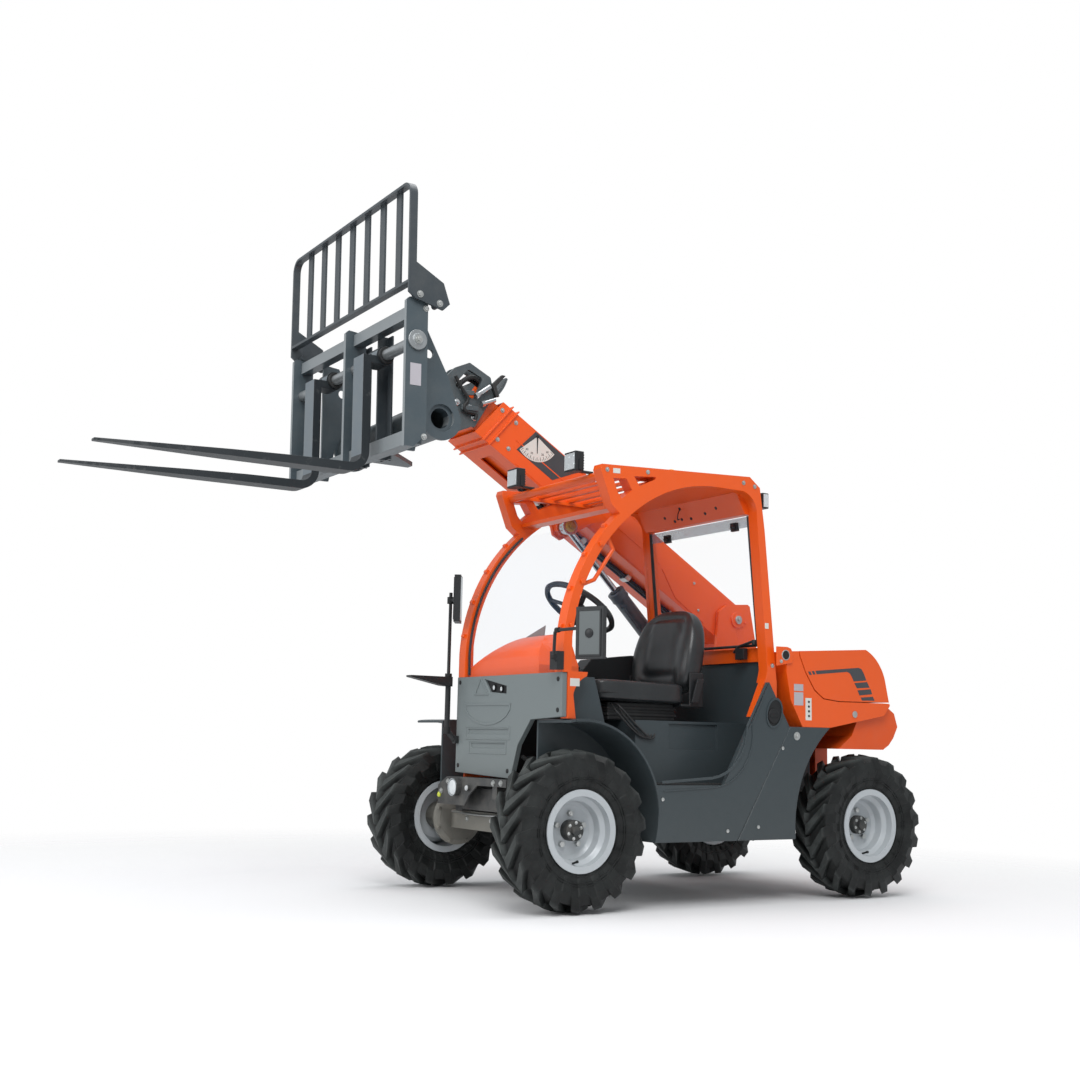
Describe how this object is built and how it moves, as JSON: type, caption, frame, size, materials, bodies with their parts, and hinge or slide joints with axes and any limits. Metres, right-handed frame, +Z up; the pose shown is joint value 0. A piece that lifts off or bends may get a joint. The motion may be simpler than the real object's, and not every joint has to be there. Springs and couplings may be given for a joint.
{
  "type": "compact telehandler",
  "caption": "Compact telescopic handler with a side boom on a rear tower, open cab, rear steering axle and a fork carriage with load backrest.",
  "frame": {"origin": "centre of the bounding box's footprint, on the ground", "axes": "+X to the machine's left (cab side), +Y to its rear, +Z up; the forks point to -Y"},
  "size_m": [1.704, 4.013, 3.001],
  "materials": {
    "tyre": "matte",
    "rim_grey": "gloss",
    "orange_paint": "gloss",
    "charcoal_paint": "satin",
    "panel_grey": "satin",
    "carriage_grey": "satin",
    "fork_black": "satin",
    "axle_grey": "satin",
    "frame_black": "satin",
    "cast_grey": "matte",
    "chrome_rod": "polished",
    "black_plastic": "matte",
    "seat_vinyl": "satin",
    "clear_glass": "polished",
    "lamp_black": "gloss",
    "amber": "gloss"
  },
  "bodies": {
    "chassis": {"front_axle": "axle_grey", "rear_axle": "axle_grey", "chassis_frame": "frame_black", "boom_tower": "orange_paint", "cab_left_frame": "orange_paint", "cab_right_frame": "orange_paint", "roof_frame": "orange_paint", "cab_glass": "clear_glass", "front_panel": "panel_grey", "body_left": "charcoal_paint", "body_right": "charcoal_paint", "rear_side_left": "charcoal_paint", "cab_floor": "charcoal_paint", "engine_block": "cast_grey", "rear_valance": "orange_paint", "counterweight": "orange_paint", "seat_cushion": "seat_vinyl", "seat_back": "seat_vinyl", "seat_base": "black_plastic", "steering_wheel": "black_plastic", "dash_cover": "orange_paint", "work_lamps": "lamp_black", "mirrors": "black_plastic", "beacon": "amber", "front_bumper": "frame_black"},
    "wheel_front_left": {"tyre_front_left": "tyre", "rim_front_left": "rim_grey"},
    "wheel_front_right": {"tyre_front_right": "tyre", "rim_front_right": "rim_grey"},
    "wheel_rear_left": {"tyre_rear_left": "tyre", "rim_rear_left": "rim_grey"},
    "wheel_rear_right": {"tyre_rear_right": "tyre", "rim_rear_right": "rim_grey"},
    "steer_left": {"knuckle_left": "axle_grey"},
    "steer_right": {"knuckle_right": "axle_grey"},
    "boom": {"boom_outer": "orange_paint"},
    "boom_extension": {"boom_inner": "orange_paint", "boom_head": "cast_grey"},
    "carriage": {"carriage_frame": "carriage_grey", "fork_shaft": "axle_grey", "forks": "fork_black", "load_backrest": "carriage_grey"},
    "lift_cylinder_barrel": {"lift_barrel": "charcoal_paint"},
    "lift_cylinder_rod": {"lift_rod": "chrome_rod"},
    "hood_lid": {"hood": "orange_paint"}
  },
  "joints": [
    {"name": "spin_front_left", "type": "hinge", "parent": "chassis", "child": "wheel_front_left", "pos_m": [0.43604, -0.01354, 0.34], "axis": [1, 0, 0], "continuous": true},
    {"name": "spin_front_right", "type": "hinge", "parent": "chassis", "child": "wheel_front_right", "pos_m": [-0.73196, -0.01354, 0.34], "axis": [1, 0, 0], "continuous": true},
    {"name": "spin_rear_left", "type": "hinge", "parent": "steer_left", "child": "wheel_rear_left", "pos_m": [0.43604, 1.66646, 0.34], "axis": [1, 0, 0], "continuous": true},
    {"name": "spin_rear_right", "type": "hinge", "parent": "steer_right", "child": "wheel_rear_right", "pos_m": [-0.73196, 1.66646, 0.34], "axis": [1, 0, 0], "continuous": true},
    {"name": "steer_left", "type": "hinge", "parent": "chassis", "child": "steer_left", "pos_m": [0.33004, 1.66646, 0.34], "axis": [0, 0, 1], "range_deg": [-33, 33]},
    {"name": "steer_right", "type": "hinge", "parent": "chassis", "child": "steer_right", "pos_m": [-0.62596, 1.66646, 0.34], "axis": [0, 0, 1], "range_deg": [-33, 33]},
    {"name": "boom_lift", "type": "hinge", "parent": "chassis", "child": "boom", "pos_m": [-0.63296, 1.68846, 1.394], "axis": [-1, 0, 0], "range_deg": [-43.9, 31]},
    {"name": "boom_extend", "type": "slide", "parent": "boom", "child": "boom_extension", "axis": [0, -0.8572, 0.515], "range_m": [0, 1.1]},
    {"name": "carriage_tilt", "type": "hinge", "parent": "boom_extension", "child": "carriage", "pos_m": [-0.14796, -0.60954, 2.059], "axis": [-1, 0, 0], "range_deg": [-40, 55]},
    {"name": "lift_barrel_swing", "type": "hinge", "parent": "chassis", "child": "lift_cylinder_barrel", "pos_m": [-0.43796, 1.38646, 0.946], "axis": [-1, 0, 0], "range_deg": [-43.9, 31]},
    {"name": "lift_rod_slide", "type": "slide", "parent": "lift_cylinder_barrel", "child": "lift_cylinder_rod", "axis": [0, -0.7121, 0.7021], "range_m": [-0.395, 0.28]},
    {"name": "hood_hinge", "type": "hinge", "parent": "chassis", "child": "hood_lid", "pos_m": [0.06204, 1.81846, 0.934], "axis": [-1, 0, 0], "range_deg": [0, 60]}
  ],
  "couplings": [
    {"joint": "steer_right", "follows": "steer_left", "ratio": 1},
    {"joint": "lift_barrel_swing", "follows": "boom_lift", "ratio": 1},
    {"joint": "lift_rod_slide", "follows": "boom_lift", "m_per_rad": 0.5}
  ]
}
